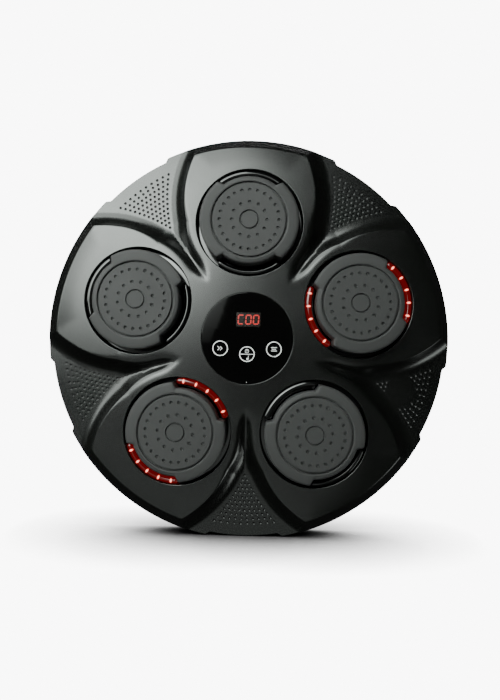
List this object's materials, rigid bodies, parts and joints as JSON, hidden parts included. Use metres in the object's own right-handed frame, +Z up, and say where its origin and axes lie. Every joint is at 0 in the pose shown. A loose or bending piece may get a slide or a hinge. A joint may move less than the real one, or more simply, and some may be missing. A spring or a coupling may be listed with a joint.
{
  "type": "boxing punch machine",
  "caption": "Round wall-hung electronic boxing target with cushioned, sprung striking pads, LED light bars beside each pad and a central round touch display with a digit counter.",
  "frame": {"origin": "centre of the back face, on the wall", "axes": "+Z up, the front faces -Y, +X to the right seen from the front; +Y points into the wall"},
  "size_m": [0.4, 0.058, 0.3966],
  "materials": {
    "shell_abs": "black moulded ABS, high gloss with a faint haze",
    "cover_abs": "black moulded ABS, fine spark texture",
    "pad_rubber": "dark grey moulded foam rubber, matte skin",
    "carrier_abs": "black ABS, unpolished inner moulding",
    "clear_pc": "clear polycarbonate light guide over red LEDs",
    "circuit_board": "solder-masked fibreglass board",
    "switch_nylon": "black nylon",
    "plunger_acetal": "white acetal",
    "screw_steel": "zinc-plated steel",
    "spring_steel": "bright spring wire",
    "lens_acrylic": "back-printed black acrylic, polished",
    "tape_foam": "black double-sided foam tape",
    "display_resin": "smoked display module, red segments",
    "touch_wire": "gold-plated contact wire",
    "mounting_foam": "grey mounting foam",
    "speaker_metal": "black speaker basket and magnet",
    "cell_wrap": "blue heat-shrink wrap",
    "socket_metal": "nickel-plated socket shell",
    "wire_pvc": "PVC-covered wire"
  },
  "bodies": {
    "housing": {"front_shell": "shell_abs", "rear_cover": "cover_abs", "display_lens": "lens_acrylic", "lens_tape": "tape_foam", "digit_display": "display_resin", "touch_coils": "touch_wire", "main_board": "circuit_board", "main_board_screws": "screw_steel", "sensor_board_screws": "screw_steel", "cover_screws": "screw_steel", "wall_pads": "mounting_foam", "speaker_left": "speaker_metal", "speaker_gasket_left": "tape_foam", "speaker_right": "speaker_metal", "speaker_gasket_right": "tape_foam", "battery_tray": "carrier_abs", "battery": "cell_wrap", "charging_socket": "socket_metal", "wire_harness": "wire_pvc", "return_spring_top": "spring_steel", "light_ring_top": "clear_pc", "led_board_top": "circuit_board", "sensor_switch_top": "switch_nylon", "return_spring_left": "spring_steel", "light_ring_left": "clear_pc", "led_board_left": "circuit_board", "sensor_switch_left": "switch_nylon", "return_spring_lower_left": "spring_steel", "light_ring_lower_left": "clear_pc", "led_board_lower_left": "circuit_board", "sensor_switch_lower_left": "switch_nylon", "return_spring_lower_right": "spring_steel", "light_ring_lower_right": "clear_pc", "led_board_lower_right": "circuit_board", "sensor_switch_lower_right": "switch_nylon", "return_spring_right": "spring_steel", "light_ring_right": "clear_pc", "led_board_right": "circuit_board", "sensor_switch_right": "switch_nylon"},
    "pad_top": {"pad_cap_top": "pad_rubber", "pad_carrier_top": "carrier_abs", "retaining_screws_top": "screw_steel"},
    "plunger_top": {"switch_plunger_top": "plunger_acetal"},
    "pad_left": {"pad_cap_left": "pad_rubber", "pad_carrier_left": "carrier_abs", "retaining_screws_left": "screw_steel"},
    "plunger_left": {"switch_plunger_left": "plunger_acetal"},
    "pad_lower_left": {"pad_cap_lower_left": "pad_rubber", "pad_carrier_lower_left": "carrier_abs", "retaining_screws_lower_left": "screw_steel"},
    "plunger_lower_left": {"switch_plunger_lower_left": "plunger_acetal"},
    "pad_lower_right": {"pad_cap_lower_right": "pad_rubber", "pad_carrier_lower_right": "carrier_abs", "retaining_screws_lower_right": "screw_steel"},
    "plunger_lower_right": {"switch_plunger_lower_right": "plunger_acetal"},
    "pad_right": {"pad_cap_right": "pad_rubber", "pad_carrier_right": "carrier_abs", "retaining_screws_right": "screw_steel"},
    "plunger_right": {"switch_plunger_right": "plunger_acetal"}
  },
  "joints": [
    {"name": "pad_top_press", "type": "slide", "parent": "housing", "child": "pad_top", "axis": [0, 1, 0], "range_m": [0, 0.003], "stiffness_N_per_m": 1500, "springref_m": -0.004, "deforming": ["return_spring_top"]},
    {"name": "plunger_top_press", "type": "slide", "parent": "housing", "child": "plunger_top", "axis": [0, 1, 0], "range_m": [0, 0.003], "stiffness_N_per_m": 100, "springref_m": -0.002},
    {"name": "pad_left_press", "type": "slide", "parent": "housing", "child": "pad_left", "axis": [0, 1, 0], "range_m": [0, 0.003], "stiffness_N_per_m": 1500, "springref_m": -0.004, "deforming": ["return_spring_left"]},
    {"name": "plunger_left_press", "type": "slide", "parent": "housing", "child": "plunger_left", "axis": [0, 1, 0], "range_m": [0, 0.003], "stiffness_N_per_m": 100, "springref_m": -0.002},
    {"name": "pad_lower_left_press", "type": "slide", "parent": "housing", "child": "pad_lower_left", "axis": [0, 1, 0], "range_m": [0, 0.003], "stiffness_N_per_m": 1500, "springref_m": -0.004, "deforming": ["return_spring_lower_left"]},
    {"name": "plunger_lower_left_press", "type": "slide", "parent": "housing", "child": "plunger_lower_left", "axis": [0, 1, 0], "range_m": [0, 0.003], "stiffness_N_per_m": 100, "springref_m": -0.002},
    {"name": "pad_lower_right_press", "type": "slide", "parent": "housing", "child": "pad_lower_right", "axis": [0, 1, 0], "range_m": [0, 0.003], "stiffness_N_per_m": 1500, "springref_m": -0.004, "deforming": ["return_spring_lower_right"]},
    {"name": "plunger_lower_right_press", "type": "slide", "parent": "housing", "child": "plunger_lower_right", "axis": [0, 1, 0], "range_m": [0, 0.003], "stiffness_N_per_m": 100, "springref_m": -0.002},
    {"name": "pad_right_press", "type": "slide", "parent": "housing", "child": "pad_right", "axis": [0, 1, 0], "range_m": [0, 0.003], "stiffness_N_per_m": 1500, "springref_m": -0.004, "deforming": ["return_spring_right"]},
    {"name": "plunger_right_press", "type": "slide", "parent": "housing", "child": "plunger_right", "axis": [0, 1, 0], "range_m": [0, 0.003], "stiffness_N_per_m": 100, "springref_m": -0.002}
  ],
  "couplings": [
    {"joint": "plunger_top_press", "follows": "pad_top_press", "ratio": 1},
    {"joint": "plunger_left_press", "follows": "pad_left_press", "ratio": 1},
    {"joint": "plunger_lower_left_press", "follows": "pad_lower_left_press", "ratio": 1},
    {"joint": "plunger_lower_right_press", "follows": "pad_lower_right_press", "ratio": 1},
    {"joint": "plunger_right_press", "follows": "pad_right_press", "ratio": 1}
  ]
}
